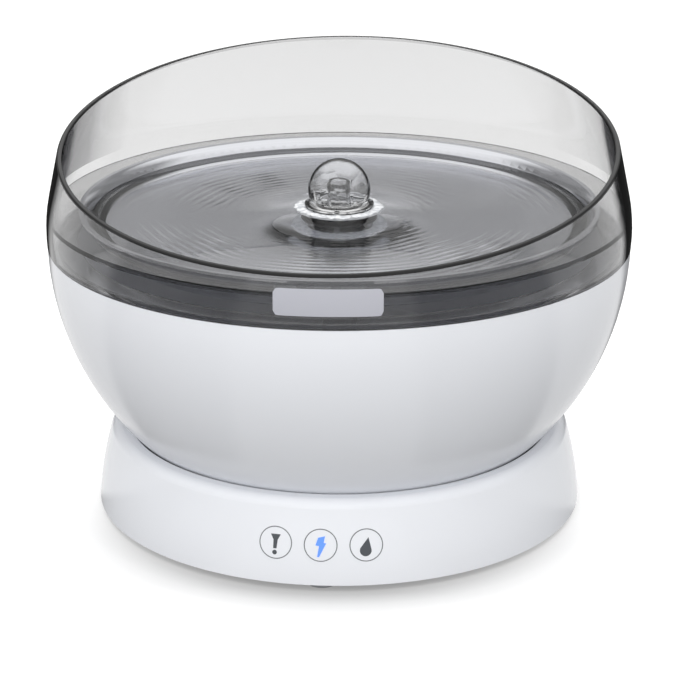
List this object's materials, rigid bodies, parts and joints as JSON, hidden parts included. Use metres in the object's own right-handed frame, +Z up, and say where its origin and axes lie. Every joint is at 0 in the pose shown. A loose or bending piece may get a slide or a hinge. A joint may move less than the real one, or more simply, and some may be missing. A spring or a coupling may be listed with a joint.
{
  "type": "pet water fountain",
  "caption": "Round pet water fountain: white bowl on a powered foot, clear slanted ring, silver tray, and a magnet-driven impeller feeding a clear dome.",
  "frame": {"origin": "centre of the base, on the floor", "axes": "+Z up, -Y to the front, where the three indicators are and the clear ring is lowest"},
  "size_m": [0.2697, 0.2698, 0.1955],
  "materials": {
    "white_gloss": "glossy moulded white",
    "white_matte": "fine matte texture",
    "grey_rubber": "soft grey",
    "screw_steel": "zinc plated",
    "motor_steel": "drawn steel can",
    "bracket_steel": "stamped sheet",
    "board_green": "solder mask",
    "black_plastic": "black moulding",
    "lamp_white": "lamp resin",
    "clear_guide": "clear moulded guide",
    "window_white": "flush white window",
    "copper_pad": "copper foil",
    "grey_plastic": "grey moulding",
    "magnet_nickel": "nickel plated",
    "pin_steel": "ground stainless",
    "impeller_white": "white moulding",
    "magnet_black": "ferrite",
    "bush_ceramic": "fired ceramic",
    "seal_rubber": "grey silicone",
    "filter_white": "white moulding",
    "filter_foam": "carbon foam",
    "smoke_clear": "smoke-tinted clear plastic",
    "tray_silver": "satin silver",
    "nozzle_clear": "clear moulding",
    "dome_clear": "clear polished dome"
  },
  "bodies": {
    "base": {"base_housing": "white_gloss", "bottom_cover": "white_matte", "rubber_feet": "grey_rubber", "cover_screws": "screw_steel", "drive_motor": "motor_steel", "motor_bracket": "bracket_steel", "bracket_screws": "screw_steel", "motor_screws": "screw_steel", "main_board": "board_green", "board_screws": "screw_steel", "power_inlet": "black_plastic", "indicator_board": "board_green", "indicator_leds": "lamp_white", "light_guide": "clear_guide", "indicator_windows": "window_white", "level_sensor": "copper_pad"},
    "drive_rotor": {"motor_shaft": "screw_steel", "magnet_carrier": "grey_plastic", "drive_magnets": "magnet_nickel"},
    "bowl": {"reservoir_bowl": "white_gloss", "impeller_pin": "pin_steel"},
    "impeller": {"impeller": "impeller_white", "impeller_magnet": "magnet_black", "impeller_bush": "bush_ceramic"},
    "impeller_cover": {"impeller_cover": "grey_plastic", "riser_seal": "seal_rubber"},
    "filter": {"filter_frame": "filter_white", "filter_media": "filter_foam", "filter_cap": "filter_white"},
    "top_ring": {"top_shell": "smoke_clear", "shell_seal": "seal_rubber"},
    "tray": {"tray": "tray_silver", "nozzle": "nozzle_clear"},
    "dome": {"dome_cap": "dome_clear"}
  },
  "joints": [
    {"name": "drive_spin", "type": "hinge", "parent": "base", "child": "drive_rotor", "pos_m": [0, 0, 0.024], "axis": [0, 0, 1], "continuous": true},
    {"name": "bowl_lift", "type": "slide", "parent": "base", "child": "bowl", "axis": [0, 0, 1], "range_m": [0, 0.06]},
    {"name": "impeller_spin", "type": "hinge", "parent": "bowl", "child": "impeller", "pos_m": [0, 0, 0.045], "axis": [0, 0, 1], "continuous": true},
    {"name": "cover_lift", "type": "slide", "parent": "bowl", "child": "impeller_cover", "axis": [0, 0, 1], "range_m": [0, 0.1]},
    {"name": "filter_lift", "type": "slide", "parent": "impeller_cover", "child": "filter", "axis": [0, 0, 1], "range_m": [0, 0.1]},
    {"name": "ring_lift", "type": "slide", "parent": "filter", "child": "top_ring", "axis": [0, 0, 1], "range_m": [0, 0.08]},
    {"name": "tray_lift", "type": "slide", "parent": "top_ring", "child": "tray", "axis": [0, 0, 1], "range_m": [0, 0.06]},
    {"name": "dome_lift", "type": "slide", "parent": "tray", "child": "dome", "axis": [0, 0, 1], "range_m": [0, 0.04]}
  ],
  "couplings": [
    {"joint": "impeller_spin", "follows": "drive_spin", "ratio": 1}
  ]
}
